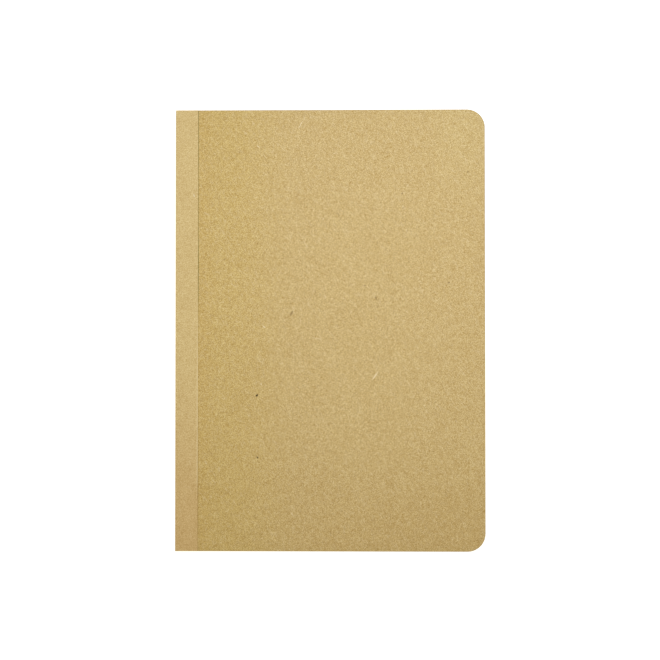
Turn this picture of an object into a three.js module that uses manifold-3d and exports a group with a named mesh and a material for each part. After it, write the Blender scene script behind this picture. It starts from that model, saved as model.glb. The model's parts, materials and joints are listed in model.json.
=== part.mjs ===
// A pocket notebook, bound along its left edge: two kraft boards and a block of loose leaves, glued
// along the spine and held by one strip of kraft paper tape that wraps the spine and both boards.
// It lies closed on its back cover. Millimetres, +Z up out of the front cover, +Y towards the head,
// +X towards the fore-edge. The origin is the middle of the bottom of the closed notebook.
import * as THREE from 'three';
import { mergeVertices } from 'three/addons/utils/BufferGeometryUtils.js';
import Module from 'manifold-3d';

const wasm = await Module();
wasm.setup();

// Driving dimensions
const bookHeight = 148; // head to tail
const bookWidth = 103.8; // outer face of the spine tape to the fore-edge
const cornerRadius = 6; // rounded fore-edge corners, cut through boards and leaves together
const leavesInHalf = 20; // leaves on each side of the spine's middle fold
const leafThickness = 0.1;
const boardThickness = 0.45;
const tapeThickness = 0.12;
const flapWidth = 7.5; // how far the tape reaches over each board
const nipDepth = 0.04; // how far each board is pressed thinner under the tape
const glueThickness = 0.25;

// Clearances
const sheetGap = 0.02; // between any two sheets that lie on each other
const tapeGap = 0.02; // between the tape and what it is stuck on, and at each of its folds
const glueGap = 0.02; // between the spine glue and the leaves' bound edges

const cornerSteps = 12; // straight stretches in each rounded corner

// Levels, from the bottom up
const boardBottom = tapeThickness + tapeGap - nipDepth;
const boardTop = boardBottom + boardThickness;
const leafPitch = leafThickness + sheetGap;
const halfBlock = leavesInHalf * leafPitch;
const middle = boardTop + sheetGap / 2 + halfBlock; // the spine's middle fold
const bookThickness = 2 * middle;

// Places along X, from the spine
const spineX = -bookWidth / 2;
const foreEdgeX = bookWidth / 2;
const boardX = spineX + tapeThickness + tapeGap;
const glueX = boardX;
const leafX = glueX + glueThickness + glueGap;
const flapEdgeX = spineX + flapWidth;

// Materials, one for each kind of stock
const kraftBoard = { color: 0xc4a877, roughness: 0.9, metalness: 0 };
const kraftTape = { color: 0xcbb280, roughness: 0.8, metalness: 0 };
const creamPaper = { color: 0xefe8d6, roughness: 0.85, metalness: 0 };
const driedGlue = { color: 0xe6dfc8, roughness: 0.5, metalness: 0 };

const notebook = new THREE.Group();

function add(name, geometry, look, z) {
  const mesh = new THREE.Mesh(geometry, new THREE.MeshStandardMaterial(look));
  mesh.name = name;
  mesh.position.z = z;
  notebook.add(mesh);
}

// A sheet that starts at leftX, square at the spine and rounded at its two fore-edge corners.
// Its underside is at z = 0.
function sheet(leftX, thickness) {
  const head = bookHeight / 2;
  const bendX = foreEdgeX - cornerRadius;
  const bendY = head - cornerRadius;
  const outline = new THREE.Shape();
  outline.moveTo(leftX, -head);
  outline.lineTo(bendX, -head);
  outline.absarc(bendX, -bendY, cornerRadius, -Math.PI / 2, 0);
  outline.absarc(bendX, bendY, cornerRadius, 0, Math.PI / 2);
  outline.lineTo(leftX, head);
  outline.closePath();
  return new THREE.ExtrudeGeometry(outline, {
    depth: thickness,
    bevelEnabled: false,
    curveSegments: cornerSteps / 2, // an arc takes two stretches for each
  });
}

// A straight strip along the whole spine, with its lower left edge at (leftX, bottomZ).
function strip(leftX, width, bottomZ, height) {
  const geometry = new THREE.BoxGeometry(width, bookHeight, height);
  geometry.translate(leftX + width / 2, 0, bottomZ + height / 2);
  return geometry;
}

function toSolid(geometry) {
  const bare = geometry.clone();
  bare.deleteAttribute('normal');
  bare.deleteAttribute('uv');
  const merged = mergeVertices(bare);
  const mesh = new wasm.Mesh({
    numProp: 3,
    vertProperties: new Float32Array(merged.attributes.position.array),
    triVerts: new Uint32Array(merged.index.array),
  });
  return new wasm.Manifold(mesh);
}

function toGeometry(solid) {
  const mesh = solid.getMesh();
  const geometry = new THREE.BufferGeometry();
  geometry.setAttribute('position', new THREE.BufferAttribute(mesh.vertProperties, 3));
  geometry.setIndex(new THREE.BufferAttribute(mesh.triVerts, 1));
  geometry.computeVertexNormals();
  return geometry;
}

// A cover board. Its outer face is pressed in by nipDepth where the tape lies on it, and that
// margin ends a tape gap beyond the flap's edge. outerZ is the outer face's height in the board's
// own frame, 0 for the back board and boardThickness for the front one.
function coverBoard(outerZ) {
  const blank = toSolid(sheet(boardX, boardThickness));
  const past = 1; // the cutter reaches this far past the board
  const cutter = new THREE.BoxGeometry(
    flapEdgeX + tapeGap - boardX + past,
    bookHeight + 2 * past,
    2 * nipDepth,
  );
  const cutterRight = flapEdgeX + tapeGap;
  cutter.translate(cutterRight - cutter.parameters.width / 2, 0, outerZ);
  return toGeometry(blank.subtract(toSolid(cutter)));
}

// The back half, from the table up
add('back_tape_flap', strip(spineX, flapWidth, 0, tapeThickness), kraftTape, 0);
add('back_cover', coverBoard(0), kraftBoard, boardBottom);

// The spine in two halves, split at its middle fold: the tape outside, the glue inside
const foldGap = tapeGap / 2;
const tapeBottom = tapeThickness + tapeGap;
const tapeHeight = middle - foldGap - tapeBottom;
add('back_spine_tape', strip(spineX, tapeThickness, tapeBottom, tapeHeight), kraftTape, 0);
add('front_spine_tape', strip(spineX, tapeThickness, middle + foldGap, tapeHeight), kraftTape, 0);

const glueBottom = boardTop + sheetGap;
const glueHeight = middle - foldGap - glueBottom;
add('back_spine_glue', strip(glueX, glueThickness, glueBottom, glueHeight), driedGlue, 0);
add('front_spine_glue', strip(glueX, glueThickness, middle + foldGap, glueHeight), driedGlue, 0);

// The leaves, numbered from the front cover down
const leafCount = 2 * leavesInHalf;
const topLeafBottom = middle + halfBlock - leafPitch + sheetGap / 2;
for (let n = 1; n <= leafCount; n++) {
  const z = topLeafBottom - (n - 1) * leafPitch;
  add(`leaf_${String(n).padStart(2, '0')}`, sheet(leafX, leafThickness), creamPaper, z);
}

// The front board and the tape's front flap
add('front_cover', coverBoard(boardThickness), kraftBoard, bookThickness - boardTop);
const frontFlap = strip(spineX, flapWidth, bookThickness - tapeThickness, tapeThickness);
add('front_tape_flap', frontFlap, kraftTape, 0);

export default notebook;
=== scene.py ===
import json
import math

import bmesh
import bpy
import numpy as np
from mathutils import Matrix, Vector


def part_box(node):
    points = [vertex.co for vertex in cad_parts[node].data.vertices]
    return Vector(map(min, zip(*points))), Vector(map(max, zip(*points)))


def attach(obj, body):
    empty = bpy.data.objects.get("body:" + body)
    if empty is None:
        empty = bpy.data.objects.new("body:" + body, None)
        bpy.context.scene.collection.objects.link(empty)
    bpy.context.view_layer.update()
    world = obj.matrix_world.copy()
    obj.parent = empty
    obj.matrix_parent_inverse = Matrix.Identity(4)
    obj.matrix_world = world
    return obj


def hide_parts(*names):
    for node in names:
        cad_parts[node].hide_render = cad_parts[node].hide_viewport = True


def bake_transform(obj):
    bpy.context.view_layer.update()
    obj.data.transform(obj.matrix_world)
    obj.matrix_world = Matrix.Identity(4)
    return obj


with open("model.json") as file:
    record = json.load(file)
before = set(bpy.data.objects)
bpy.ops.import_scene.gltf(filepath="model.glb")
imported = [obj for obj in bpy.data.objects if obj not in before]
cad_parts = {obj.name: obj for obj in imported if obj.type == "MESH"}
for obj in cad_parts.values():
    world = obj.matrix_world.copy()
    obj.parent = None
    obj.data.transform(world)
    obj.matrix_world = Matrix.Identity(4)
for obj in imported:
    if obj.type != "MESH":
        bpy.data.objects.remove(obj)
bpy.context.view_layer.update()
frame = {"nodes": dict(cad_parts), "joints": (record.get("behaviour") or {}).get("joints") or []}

MM = 0.001
rng = np.random.default_rng(7)

# ---------------------------------------------------------------------------------------------
# Places, all from the frame
# ---------------------------------------------------------------------------------------------
joint_at = {j["name"]: Vector(j["pos_m"]) for j in frame["joints"]}
limit_of = {j["name"]: j["range_deg"][1] for j in frame["joints"]}
middle_z = joint_at["middle_opening"].z
leaf_names = sorted(name for name in frame["nodes"] if name.startswith("leaf_"))

front_flap_low, front_flap_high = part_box("front_tape_flap")
back_flap_top_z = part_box("back_tape_flap")[1].z
front_board_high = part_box("front_cover")[1]
back_board_low, back_board_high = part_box("back_cover")
front_glue_top_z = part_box("front_spine_glue")[1].z
back_glue_low, back_glue_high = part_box("back_spine_glue")

head_y = front_board_high.y
fore_edge_x = front_board_high.x
spine_x = front_flap_low.x
flap_edge_x = front_flap_high.x
tape_thickness = front_flap_high.z - front_flap_low.z
book_top_z = front_flap_high.z
back_cover_top_z = back_board_high.z
corner_radius = 6 * MM


# ---------------------------------------------------------------------------------------------
# Mesh building
# ---------------------------------------------------------------------------------------------
SHARP_ANGLE = math.radians(35)
SIDE_SLOT = 1
CORNER_STEPS = 9
CORNER_MARGIN = 0.2 * MM  # columns closer than this to a rounded corner's start are left out
RIBBON_ROWS = 40


def finished(name, bm):
    """An object from a bmesh, smooth apart from edges that turn by more than SHARP_ANGLE."""
    bmesh.ops.recalc_face_normals(bm, faces=bm.faces)
    for face in bm.faces:
        face.smooth = True
    for edge in bm.edges:
        edge.smooth = edge.calc_face_angle(math.pi) < SHARP_ANGLE
    mesh = bpy.data.meshes.new(name)
    bm.to_mesh(mesh)
    bm.free()
    obj = bpy.data.objects.new(name, mesh)
    bpy.context.scene.collection.objects.link(obj)
    return obj


def bridge(bm, ring_a, ring_b):
    """Side faces: quads between two closed rings with as many vertices."""
    count = len(ring_a)
    for i in range(count):
        j = (i + 1) % count
        face = bm.faces.new((ring_a[i], ring_a[j], ring_b[j], ring_b[i]))
        face.material_index = SIDE_SLOT


def stations(start, stops):
    """Places along a line: from start, each (end, count) of stops adds count even steps to end."""
    places = [start]
    for end, count in stops:
        first = places[-1]
        places += [first + (end - first) * i / count for i in range(1, count + 1)]
    return places


def flat(z):
    """The height of a face that is level: z at every x."""
    return lambda x: z


def plate(name, right, head, columns, rows, underside, topside, rim=0.0, rim_steps=0):
    """A thin plate, square at its left corners and rounded at its right ones, as a grid of columns
    and rows on both faces with a rounded rim between them. columns are places along X from the left
    edge to where the corners start. underside and topside give the height of each face at x. Side
    faces get SIDE_SLOT.
    """
    bend_x = right - corner_radius
    bend_y = head - corner_radius
    small = corner_radius - rim
    turns = [math.radians(90 * i / CORNER_STEPS) for i in range(CORNER_STEPS + 1)]
    straight = [x for x in columns if x < bend_x - CORNER_MARGIN]
    xs = straight + [bend_x + small * math.sin(a) for a in turns]
    angles = [None] * len(straight) + turns
    reach = [head - rim if a is None else bend_y + small * math.cos(a) for a in angles]

    bm = bmesh.new()
    grids = []
    for height in (underside, topside):
        grid = []
        for x, half in zip(xs, reach):
            ys = [half * (2 * r / rows - 1) for r in range(rows + 1)]
            grid.append([bm.verts.new((x, y, height(x))) for y in ys])
        grids.append(grid)
    low, high = grids
    for i in range(len(xs) - 1):
        for r in range(rows):
            bm.faces.new((low[i][r], low[i][r + 1], low[i + 1][r + 1], low[i + 1][r]))
            bm.faces.new((high[i][r], high[i + 1][r], high[i + 1][r + 1], high[i][r + 1]))

    # the boundary, anticlockwise from the tail's left corner, with the outward direction at each
    last = len(xs) - 1
    walk = [(i, 0) for i in range(len(xs))] + [(last, r) for r in range(1, rows + 1)]
    walk += [(i, rows) for i in range(last - 1, -1, -1)] + [(0, r) for r in range(rows - 1, 0, -1)]

    def outward(i, r):
        side = -1 if r == 0 else 1 if r == rows else 0
        if i == 0:
            return Vector((-1, side))
        if side == 0:
            return Vector((1, 0))
        a = angles[i]
        return Vector((0, side)) if a is None else Vector((math.sin(a), side * math.cos(a)))

    def rings(grid, down):
        inner = [grid[i][r] for i, r in walk]
        found = [inner]
        for k in range(1, rim_steps + 1):
            a = math.radians(90 * k / rim_steps)
            ring = []
            for (i, r), v in zip(walk, inner):
                out = outward(i, r) * rim * math.sin(a)
                drop = down * rim * (1 - math.cos(a))
                ring.append(bm.verts.new((v.co.x + out.x, v.co.y + out.y, v.co.z + drop)))
            found.append(ring)
        return found

    under, over = rings(low, 1), rings(high, -1)
    for a, b in zip(under, under[1:]):
        bridge(bm, a, b)
    for a, b in zip(over, over[1:]):
        bridge(bm, a, b)
    bridge(bm, under[-1], over[-1])
    return finished(name, bm)


def ribbon(name, outer, inner, head):
    """A bent strip that runs the height of the notebook, from -head to head: outer and inner are its
    cross-section's two sides as matching (x, z) points."""
    rows = RIBBON_ROWS
    bm = bmesh.new()
    ys = [head * (2 * r / rows - 1) for r in range(rows + 1)]
    sides = [[[bm.verts.new((x, y, z)) for y in ys] for x, z in side] for side in (outer, inner)]
    out, back = sides
    for side in sides:
        for a, b in zip(side, side[1:]):
            for r in range(rows):
                bm.faces.new((a[r], a[r + 1], b[r + 1], b[r]))
    for i in (0, len(out) - 1):
        for r in range(rows):
            bm.faces.new((out[i][r], out[i][r + 1], back[i][r + 1], back[i][r]))
    for r in (0, rows):
        for i in range(len(out) - 1):
            bm.faces.new((out[i][r], out[i + 1][r], back[i + 1][r], back[i][r]))
    return finished(name, bm)


# ---------------------------------------------------------------------------------------------
# Materials
# ---------------------------------------------------------------------------------------------
FIBRE_DRIFT = 3.0  # millimetres sideways, so that fibres aren't straight
FIBRE_SHIFT = (17.3, 5.1, 2.7)  # each angle's fibres come from another place in the noise


class Shader:
    """A Principled material and short ways to add nodes to it. Textures are read in millimetres."""

    def __init__(self, name, roughness):
        self.material = bpy.data.materials.new(name)
        self.material.use_nodes = True
        self.nodes = self.material.node_tree.nodes
        self.links = self.material.node_tree.links
        self.surface = self.nodes["Principled BSDF"]
        self.surface.inputs["Roughness"].default_value = roughness
        self.surface.inputs["Specular IOR Level"].default_value = 0.25
        coordinates = self.nodes.new("ShaderNodeTexCoord")
        self.place = self.vector("MULTIPLY", coordinates.outputs["Object"], (1 / MM,) * 3)
        parts = self.nodes.new("ShaderNodeSeparateXYZ")
        self.links.new(self.place, parts.inputs[0])
        self.across, self.along, self.up = (parts.outputs[axis] for axis in "XYZ")

    def put(self, value, socket):
        """Links value to the socket if it is a node's output, or else sets it as the socket's own."""
        if isinstance(value, bpy.types.NodeSocket):
            self.links.new(value, socket)
        else:
            socket.default_value = value

    def vector(self, operation, a, b):
        node = self.nodes.new("ShaderNodeVectorMath")
        node.operation = operation
        self.put(a, node.inputs[0])
        self.put(b, node.inputs[1])
        return node.outputs["Vector"]

    def math(self, operation, a, b=0.0):
        node = self.nodes.new("ShaderNodeMath")
        node.operation = operation
        self.put(a, node.inputs[0])
        self.put(b, node.inputs[1])
        return node.outputs[0]

    def turned(self, place, degrees):
        """place, turned about Z."""
        node = self.nodes.new("ShaderNodeVectorRotate")
        node.rotation_type = "Z_AXIS"
        self.put(place, node.inputs["Vector"])
        node.inputs["Angle"].default_value = math.radians(degrees)
        return node.outputs["Vector"]

    def noise(self, size, detail=2.0, place=None, stretch=(1, 1, 1)):
        """Smooth noise, 0 to 1 around 0.5, with features about size millimetres across."""
        node = self.nodes.new("ShaderNodeTexNoise")
        node.inputs["Scale"].default_value = 1.0
        node.inputs["Detail"].default_value = detail
        node.inputs["Roughness"].default_value = 0.55
        scale = tuple(1 / (size * s) for s in stretch)
        self.links.new(self.vector("MULTIPLY", place or self.place, scale), node.inputs["Vector"])
        return node.outputs["Fac"]

    def ramp(self, value, low, high, to_low=0.0, to_high=1.0, smooth=True):
        """to_low where value is low, to_high where it is high, and in between in between."""
        node = self.nodes.new("ShaderNodeMapRange")
        node.interpolation_type = "SMOOTHSTEP" if smooth else "LINEAR"
        node.clamp = True
        for socket, x in zip(node.inputs[1:5], (low, high, to_low, to_high)):
            socket.default_value = x
        self.put(value, node.inputs["Value"])
        return node.outputs["Result"]

    def mix(self, share, a, b):
        """Colour a where share is 0 and b where it is 1."""
        node = self.nodes.new("ShaderNodeMix")
        node.data_type = "RGBA"
        self.put(share, node.inputs["Factor"])
        for socket, value in ((node.inputs["A"], a), (node.inputs["B"], b)):
            self.put(value if isinstance(value, bpy.types.NodeSocket) else (*value, 1.0), socket)
        return node.outputs["Result"]

    def scaled(self, vector, value):
        """A colour or a direction times a plain value."""
        node = self.nodes.new("ShaderNodeVectorMath")
        node.operation = "SCALE"
        self.put(vector, node.inputs[0])
        self.put(value, node.inputs["Scale"])
        return node.outputs["Vector"]

    def sum(self, *values):
        total = values[0]
        for value in values[1:]:
            total = self.math("ADD", total, value)
        return total

    def around_zero(self, noise, swing):
        """Noise of 0 to 1 as a value of 0 plus or minus up to swing."""
        return self.ramp(noise, 0.0, 1.0, -swing, swing, smooth=False)

    def fibres(self, length, width, low, high, angles):
        """Sparse short fibres lying at several angles: 1 on a fibre, 0 off it."""
        wander = self.noise(6.0, 1.0)
        found = None
        for n, degrees in enumerate(angles):
            shift = tuple(n * c for c in FIBRE_SHIFT)
            place = self.vector("ADD", self.turned(self.place, degrees), shift)
            bent = self.vector("ADD", place, self.scaled((0.0, FIBRE_DRIFT, 0.0), wander))
            streak = self.noise(1.0, 0.0, bent, (length, width, 1.0))
            mask = self.ramp(streak, low, high)
            found = mask if found is None else self.math("MAXIMUM", found, mask)
        return found

    def fleck(self, x, y, length, width, degrees):
        """One mark at a place on the sheet, in millimetres: 1 inside, soft at its edge."""
        here = self.vector("SUBTRACT", self.place, (x, y, 0.0))
        node = self.nodes.new("ShaderNodeVectorMath")
        node.operation = "LENGTH"
        squeezed = self.vector("MULTIPLY", self.turned(here, -degrees), (2 / length, 2 / width, 0.0))
        self.links.new(squeezed, node.inputs[0])
        return self.ramp(node.outputs["Value"], 1.3, 0.5)

    def tinted(self, where, colour, tint):
        """colour, multiplied by tint where where is 1."""
        return self.mix(where, colour, self.vector("MULTIPLY", colour, tint))

    def both(self, a, b):
        """The share of a that is also b."""
        return self.math("MULTIPLY", a, b)

    def bump(self, height, depth):
        """Fine relief in the surface: depth is in millimetres."""
        node = self.nodes.new("ShaderNodeBump")
        node.inputs["Strength"].default_value = 1.0
        node.inputs["Distance"].default_value = depth * MM
        self.links.new(height, node.inputs["Height"])
        self.links.new(node.outputs["Normal"], self.surface.inputs["Normal"])

    def colour(self, value):
        self.put(value, self.surface.inputs["Base Color"])


# base colours, and what a grain of 1 adds to each: pale grains are less saturated than dark ones
BOARD = (0.584, 0.418, 0.175)
BOARD_GRAIN = (0.468, 0.468, 0.308)
BOARD_EDGE = (0.44, 0.315, 0.14)
TAPE = (0.662, 0.494, 0.225)
TAPE_GRAIN = (0.548, 0.556, 0.380)
PAGE = (0.86, 0.80, 0.665)
PAGE_EDGE = (0.83, 0.765, 0.63)
GLUE = (0.74, 0.68, 0.52)


def kraft_board(name, outer_z, flecks=()):
    """Uncoated kraft board: mottled pulp with short pale and brown fibres. Only its outer face, at
    outer_z, has the flecks, a warmer stain that fades away from the tape, painted shade beside the
    tape and a browner painted shade towards the tail, a paler head corner of painted light by the
    fore-edge, and a painted shadow line along the tape's edge."""
    s = Shader(name, 0.9)
    # outside is 1 within 0.18 mm of the outer face and 0 deeper than 0.24 mm
    depth = s.math("ABSOLUTE", s.math("SUBTRACT", s.up, outer_z / MM))
    outside = s.ramp(depth, 0.24, 0.18)
    from_tape = s.math("SUBTRACT", s.across, flap_edge_x / MM)

    # mottle; the last number takes the short fibres' own average back out
    grain = s.sum(
        s.around_zero(s.noise(0.19, 0.0), 0.67),
        s.around_zero(s.noise(0.8, 1.0), 0.035),
        s.around_zero(s.noise(3.6, 2.0), 0.046),
        s.around_zero(s.noise(20.0, 1.0), 0.021),
        s.both(s.fibres(1.3, 0.13, 0.60, 0.74, (0, 38, 71, 122, 157)), 0.10),
        -0.013,
    )
    colour = s.vector("ADD", BOARD, s.scaled(BOARD_GRAIN, grain))

    # broad changes of tone over the outer face: a warmer stain, then painted shade and painted light
    stain = s.both(s.ramp(from_tape, 36.0, 10.0), outside)
    colour = s.tinted(stain, colour, (0.995, 0.985, 0.85))
    # painted shade: a little darker within a few millimetres of the tape's step
    painted_shade_by_tape = s.both(s.ramp(from_tape, 7.0, 1.5), outside)
    colour = s.tinted(painted_shade_by_tape, colour, (0.995, 0.975, 0.94))
    # painted shade: darker and browner towards the tail
    tail = s.both(s.ramp(s.along, -36.0, -68.0), s.ramp(s.across, -32.0, 4.0))
    colour = s.tinted(s.both(tail, outside), colour, (0.965, 0.945, 0.915))
    # painted light: paler at the head corner by the fore-edge
    painted_light_head_corner = s.both(s.ramp(s.along, 35.0, 68.0), s.ramp(s.across, 28.0, 46.0))
    colour = s.tinted(s.both(painted_light_head_corner, outside), colour, (1.04, 1.07, 1.09))

    # loose fibres all over, and the marks that have places of their own
    pale = s.fibres(1.9, 0.13, 0.70, 0.77, (10, 55, 100, 145))
    colour = s.mix(s.both(pale, 0.5), colour, (0.84, 0.69, 0.42))
    brown = s.fibres(1.5, 0.13, 0.73, 0.80, (30, 80, 120, 165))
    colour = s.mix(s.both(brown, 0.45), colour, (0.30, 0.19, 0.075))
    for x, y, length, width, degrees, tone, strength in flecks:
        mark = s.both(s.fleck(x, y, length, width, degrees), outside)
        colour = s.mix(s.both(mark, strength), colour, tone)

    # the painted shadow line along the tape's edge: uneven, and faint for a stretch in its middle
    off_line = s.math("ABSOLUTE", s.math("SUBTRACT", from_tape, 0.17))
    from_faint = s.math("ABSOLUTE", s.math("ADD", s.along, 8.0))
    faint = s.ramp(from_faint, 12.0, 20.0, 0.35, 1.0)
    uneven = s.ramp(s.noise(30.0, 1.0), 0.3, 0.7, 0.30, 0.75)
    strength = s.both(s.both(uneven, faint), outside)
    tape_edge_painted_shadow = s.both(s.ramp(off_line, 0.23, 0.05), strength)
    painted_shadow_tone = s.mix(s.ramp(s.along, 5.0, -35.0), (0.20, 0.165, 0.045), (0.33, 0.20, 0.06))
    s.colour(s.mix(tape_edge_painted_shadow, colour, painted_shadow_tone))
    s.bump(s.sum(s.noise(0.3, 2.0), s.both(pale, 0.5), s.noise(2.0, 2.0)), 0.02)
    return s.material


def kraft_edge():
    """The cut side of the board: pressed layers of pulp along its length."""
    s = Shader("kraft_board_cut_edge", 0.95)
    layers = s.noise(1.0, 2.0, None, (2.5, 2.5, 0.06))
    grain = s.sum(s.around_zero(layers, 0.30), s.around_zero(s.noise(0.3, 2.0), 0.25), 1.0)
    s.colour(s.scaled(BOARD_EDGE, grain))
    s.bump(s.sum(layers, s.noise(0.15, 2.0)), 0.03)
    return s.material


def kraft_tape():
    """Machine-finished kraft paper tape: paler and smoother than the board, pinker towards the tail,
    with a pale painted highlight along part of the flap's edge, where the edge catches the light."""
    s = Shader("kraft_tape", 0.8)
    grain = s.sum(
        s.around_zero(s.noise(0.30, 1.0), 0.46),
        s.around_zero(s.noise(1.1, 2.0), 0.12),
        s.around_zero(s.noise(5.0, 2.0), 0.06),
    )
    colour = s.vector("ADD", TAPE, s.scaled(TAPE_GRAIN, grain))
    colour = s.tinted(s.ramp(s.along, -5.0, -74.0), colour, (0.955, 0.88, 0.86))
    mark = s.fleck(-45.7, 45.2, 1.2, 0.35, 110)
    colour = s.mix(s.both(mark, 0.6), colour, (0.86, 0.76, 0.55))
    # painted highlight: pale along part of the flap's edge, where it catches the light
    inside_edge = s.math("SUBTRACT", flap_edge_x / MM, s.across)
    highlight_strength = s.both(s.ramp(s.along, 20.0, -20.0, 0.1, 0.8), s.ramp(s.along, -56.0, -48.0))
    painted_edge_highlight = s.both(s.ramp(inside_edge, 0.36, 0.10), highlight_strength)
    colour = s.mix(painted_edge_highlight, colour, (0.85, 0.70, 0.42))
    pale = s.fibres(2.0, 0.14, 0.76, 0.83, (20, 90, 160))
    s.colour(s.mix(s.both(pale, 0.4), colour, (0.80, 0.66, 0.42)))
    s.bump(s.noise(0.35, 2.0), 0.012)
    return s.material


def page_paper(name, tone):
    """Uncoated cream writing paper with a faint cloudiness."""
    s = Shader(name, 0.85)
    cloud = s.around_zero(s.noise(5.0, 2.0), 0.025)
    grain = s.sum(s.around_zero(s.noise(0.5, 2.0), 0.035), cloud, 1.0)
    s.colour(s.scaled(tuple(tone * c for c in PAGE), grain))
    s.bump(s.noise(0.25, 2.0), 0.008)
    return s.material


def page_edge():
    """The trimmed edges of the leaves: fine lines of light and dark along the block."""
    s = Shader("page_cut_edge", 0.9)
    lines = s.noise(1.0, 2.0, None, (9.0, 9.0, 0.16))
    grain = s.sum(s.around_zero(lines, 0.22), s.around_zero(s.noise(0.4, 2.0), 0.10), 1.0)
    s.colour(s.scaled(PAGE_EDGE, grain))
    s.bump(s.noise(0.12, 1.0), 0.01)
    return s.material


def spine_glue():
    """Dried cream adhesive, a little glossy and uneven."""
    s = Shader("spine_glue", 0.45)
    grain = s.sum(s.around_zero(s.noise(1.2, 2.0), 0.12), 1.0)
    s.colour(s.scaled(GLUE, grain))
    s.bump(s.noise(0.7, 2.0), 0.03)
    return s.material


DARK = (0.05, 0.035, 0.012)
BROWN = (0.27, 0.17, 0.065)
PALE = (0.86, 0.72, 0.46)
PAGE_TONES = (1.0, 0.985, 1.012)
# x, y, length, width in millimetres, direction in degrees, tone, strength
FRONT_FLECKS = [
    (-24.5, -21.9, 1.0, 0.62, 50, DARK, 1.0),
    (-24.3, -42.7, 0.8, 0.5, 130, DARK, 0.8),
    (-12.9, 5.6, 2.0, 0.75, 62, BROWN, 0.7),
    (15.4, 10.7, 1.5, 0.5, 110, BROWN, 0.75),
    (11.7, 14.9, 0.7, 0.4, 20, BROWN, 0.7),
    (24.2, 45.8, 0.8, 0.45, 70, BROWN, 0.8),
    (39.8, 15.8, 0.8, 0.5, 15, BROWN, 0.8),
    (46.2, 53.0, 0.8, 0.5, 80, BROWN, 0.7),
    (-35.4, 23.8, 0.8, 0.4, 60, BROWN, 0.6),
    (-41.5, 63.0, 0.8, 0.45, 20, BROWN, 0.45),
    (15.1, -15.4, 3.4, 0.42, 55, PALE, 0.85),
    (-9.9, 69.0, 3.2, 0.3, 60, PALE, 0.75),
    (-8.6, 71.4, 1.4, 0.25, 100, PALE, 0.5),
    (-24.1, 61.7, 1.3, 0.4, 150, PALE, 0.6),
    (-2.3, 37.2, 1.0, 0.4, 80, PALE, 0.55),
    (-4.4, -2.8, 3.8, 0.28, 172, PALE, 0.45),
    (-22.1, 1.1, 1.1, 0.4, 140, PALE, 0.65),
    (-23.1, -18.1, 0.9, 0.4, 70, PALE, 0.6),
    (-37.2, -46.6, 1.8, 0.3, 110, PALE, 0.5),
    (-12.7, -61.6, 1.9, 0.35, 125, PALE, 0.6),
]
board_front = kraft_board("kraft_board_front", front_board_high.z, FRONT_FLECKS)
board_back = kraft_board("kraft_board_back", back_board_low.z)
board_edge = kraft_edge()
tape_paper = kraft_tape()
glue_film = spine_glue()
cut_edge = page_edge()
page_papers = [page_paper(f"page_paper_{n + 1}", tone) for n, tone in enumerate(PAGE_TONES)]


def dress(obj, *materials):
    for material in materials:
        obj.data.materials.append(material)
    return obj


# ---------------------------------------------------------------------------------------------
# Cover boards
# ---------------------------------------------------------------------------------------------
TAPE_GAP = 0.02 * MM  # from the tape's edge to the pressed step, and from the tape down to the board
STEP_WIDTH = 0.06 * MM
BOARD_ROWS = 48
RIM = 0.14 * MM  # radius of the rounding along a board's cut edges
RIM_STEPS = 3
step_depth = (back_flap_top_z + TAPE_GAP) - back_board_low.z
step_x = flap_edge_x + TAPE_GAP


def board_columns(low, high):
    """Places along X for a board's grid, close together at the pressed step by the tape."""
    stops = [
        (step_x - STEP_WIDTH, 3),
        (step_x, 2),
        (step_x + STEP_WIDTH, 2),
        (high.x - corner_radius, 32),
    ]
    return stations(low.x + RIM, stops)


def pressed(x):
    """How far the board's outer face is pressed in at x: all the way under the tape, none past it."""
    share = min(max((step_x - x) / STEP_WIDTH, 0), 1)
    return step_depth * share


def cover_board(name, node, body, material, outer_up):
    """A cover's board, with its outer face on top for the front cover and underneath for the back."""
    low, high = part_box(node)
    under = flat(low.z) if outer_up else (lambda x: low.z + pressed(x))
    over = (lambda x: high.z - pressed(x)) if outer_up else flat(high.z)
    columns = board_columns(low, high)
    board = plate(name, high.x, high.y, columns, BOARD_ROWS, under, over, RIM, RIM_STEPS)
    dress(board, material, board_edge)
    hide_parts(node)
    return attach(board, body)


cover_board("front_cover_board", "front_cover", "front_cover", board_front, True)
cover_board("back_cover_board", "back_cover", "back_cover", board_back, False)


# ---------------------------------------------------------------------------------------------
# Spine tape: one strip, in three pieces: front and back ones rounded round the spine's outer folds, a
# middle one across its middle fold
# ---------------------------------------------------------------------------------------------
FOLD_RADIUS = 0.26 * MM
FOLD_REACH = 0.6 * MM  # how far the middle strip runs each way from the spine's middle fold
FOLD_STEPS = 6
SPINE_BY_FOLD = 1.0 * MM  # finer rows and columns within these of the fold's outside corner
FLAP_BY_FOLD = 1.2 * MM
EDGE_SOFTNESS = 0.03 * MM


def tape_side(offset, from_z):
    """One side of the front tape's section, offset in from its outer face: up the spine from from_z,
    round the fold and along the flap."""
    radius = FOLD_RADIUS - offset
    centre_x, centre_z = spine_x + FOLD_RADIUS, book_top_z - FOLD_RADIUS
    up_spine = stations(from_z, [(book_top_z - SPINE_BY_FOLD, 6), (centre_z, 10)])
    points = [(spine_x + offset, z) for z in up_spine]
    for step in range(1, FOLD_STEPS + 1):
        a = math.radians(180 - 90 * step / FOLD_STEPS)
        points.append((centre_x + radius * math.cos(a), centre_z + radius * math.sin(a)))
    level = book_top_z - offset
    flat_end_x = flap_edge_x - EDGE_SOFTNESS
    along_flap = stations(centre_x, [(spine_x + FLAP_BY_FOLD, 8), (flat_end_x, 12)])
    points += [(x, level) for x in along_flap[1:]]
    points.append((flap_edge_x, level - (EDGE_SOFTNESS if offset == 0 else 0)))
    return points


def flipped(points):
    """The same section, mirrored front to back about the spine's middle fold."""
    return [(x, 2 * middle_z - z) for x, z in points]


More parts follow.
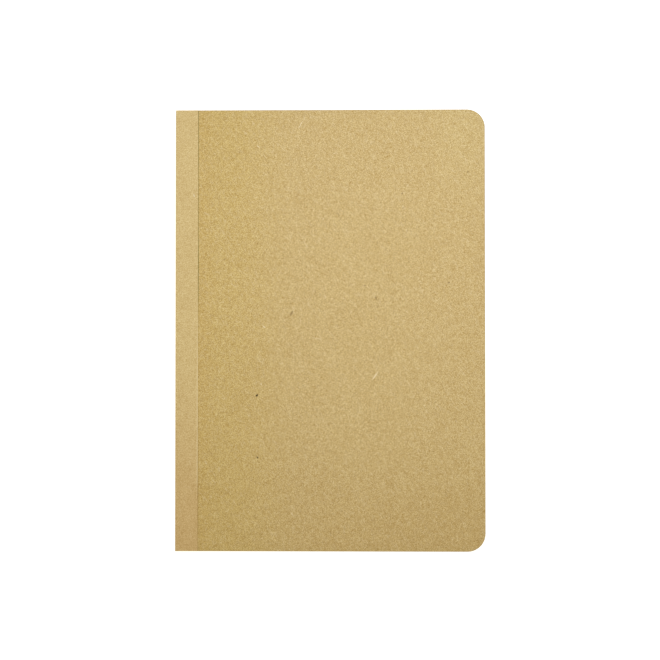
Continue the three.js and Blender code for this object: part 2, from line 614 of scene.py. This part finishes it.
outer, inner = (tape_side(offset, middle_z + FOLD_REACH) for offset in (0.0, tape_thickness))
front_tape = dress(ribbon("spine_tape_front", outer, inner, head_y), tape_paper)
back_tape = dress(ribbon("spine_tape_back", flipped(outer), flipped(inner), head_y), tape_paper)
levels = stations(middle_z - FOLD_REACH, [(middle_z + FOLD_REACH, 24)])
outer = [(spine_x, z) for z in levels]
inner = [(spine_x + tape_thickness, z) for z in levels]
middle_tape = dress(ribbon("spine_tape_middle", outer, inner, head_y), tape_paper)
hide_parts("front_tape_flap", "front_spine_tape")
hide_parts("back_tape_flap", "back_spine_tape")
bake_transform(front_tape)
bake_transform(back_tape)
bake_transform(middle_tape)

# ---------------------------------------------------------------------------------------------
# Spine glue: one film along the bound edge, with finer rows at the middle fold
# ---------------------------------------------------------------------------------------------
GLUE_INSET = 0.05 * MM
GLUE_BY_FOLD = 0.5 * MM  # finer rows within this of the middle fold
glue_levels = stations(
    back_glue_low.z,
    [(middle_z - GLUE_BY_FOLD, 4), (middle_z + GLUE_BY_FOLD, 20), (front_glue_top_z, 4)],
)
outer = [(back_glue_low.x, z) for z in glue_levels]
inner = [(back_glue_high.x, z) for z in glue_levels]
glue = dress(ribbon("spine_glue_film", outer, inner, head_y - GLUE_INSET), glue_film)
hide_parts("front_spine_glue", "back_spine_glue")
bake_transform(glue)

# ---------------------------------------------------------------------------------------------
# Leaves: each a flat sheet, with close columns near its bound edge
# ---------------------------------------------------------------------------------------------
LEAF_ROWS = 6
MOST_TRIM_X = 0.05 * MM
MOST_TRIM_Y = 0.04 * MM
bend_length = 14 * MM
for number, leaf in enumerate(leaf_names):
    low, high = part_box(leaf)
    right = high.x - rng.uniform(0, MOST_TRIM_X)
    head = high.y - rng.uniform(0, MOST_TRIM_Y)
    first = low.x
    columns = stations(first, [(first + bend_length, 20), (high.x - corner_radius, 5)])
    sheet = plate(f"{leaf}_sheet", right, head, columns, LEAF_ROWS, flat(low.z), flat(high.z))
    dress(sheet, page_papers[number % len(page_papers)], cut_edge)
    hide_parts(leaf)
    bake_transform(sheet)


# ---------------------------------------------------------------------------------------------
# Floor, lights and camera
# ---------------------------------------------------------------------------------------------
FLOOR_HALF = 30.0
FLOOR_GAP = 0.03 * MM
FLOOR_GREY = (0.6, 0.6, 0.6, 1)
FLOOR_GLOW = 0.86
WARM = (1.0, 0.92, 0.60, 1)
AMBIENT = 0.5
COOL = (0.73, 0.79, 1.0)
SOFTBOX_PLACE = (0.020, 0.056, 0.226)
SOFTBOX_SIZE = 0.12
SOFTBOX_WATTS = 0.392
LENS = 97.7
SENSOR = 36
CAMERA_DISTANCE = 0.6
CAMERA_LEAN = math.radians(1.4)

scene = bpy.context.scene
scene.view_settings.view_transform = "Standard"
scene.view_settings.look = "None"

# the back cover, opened all the way, ends under the notebook's level: the floor is just below it
short_of_half_turn = math.radians(180 - limit_of["middle_opening"])
sag = (fore_edge_x - spine_x) * math.sin(short_of_half_turn)
floor_z = 2 * joint_at["back_cover_hinge"].z - back_cover_top_z - sag - FLOOR_GAP
bm = bmesh.new()
bmesh.ops.create_grid(bm, x_segments=2, y_segments=2, size=FLOOR_HALF)
floor = finished("floor", bm)
floor.location.z = floor_z
floor_look = Shader("floor_white", 0.9)
floor_look.surface.inputs["Base Color"].default_value = FLOOR_GREY
floor_look.surface.inputs["Emission Color"].default_value = (1, 1, 1, 1)
floor_look.surface.inputs["Emission Strength"].default_value = FLOOR_GLOW
dress(floor, floor_look.material)

world = bpy.data.worlds.new("studio")
world.use_nodes = True
background = world.node_tree.nodes["Background"]
background.inputs["Color"].default_value = WARM
background.inputs["Strength"].default_value = AMBIENT
scene.world = world

# one softbox over the head half of the cover, facing straight down
softbox_data = bpy.data.lights.new("key_softbox", "AREA")
softbox_data.shape = "SQUARE"
softbox_data.size = SOFTBOX_SIZE
softbox_data.energy = SOFTBOX_WATTS
softbox_data.color = COOL
softbox = bpy.data.objects.new("key_softbox", softbox_data)
softbox.location = SOFTBOX_PLACE
softbox.visible_camera = False
scene.collection.objects.link(softbox)

# the camera looks almost straight down, with the notebook's head up in the picture
camera_data = bpy.data.cameras.new("camera")
camera_data.lens = LENS
camera_data.sensor_width = SENSOR
camera_data.clip_start = 0.01
camera = bpy.data.objects.new("camera", camera_data)
target = Vector((0, 0, book_top_z))
back = Vector((math.sin(CAMERA_LEAN), -math.sin(CAMERA_LEAN), 1)).normalized()
right = Vector((0, 1, 0)).cross(back).normalized()
camera.location = target + back * CAMERA_DISTANCE
camera.rotation_euler = Matrix((right, back.cross(right), back)).transposed().to_euler()
scene.collection.objects.link(camera)
scene.camera = camera
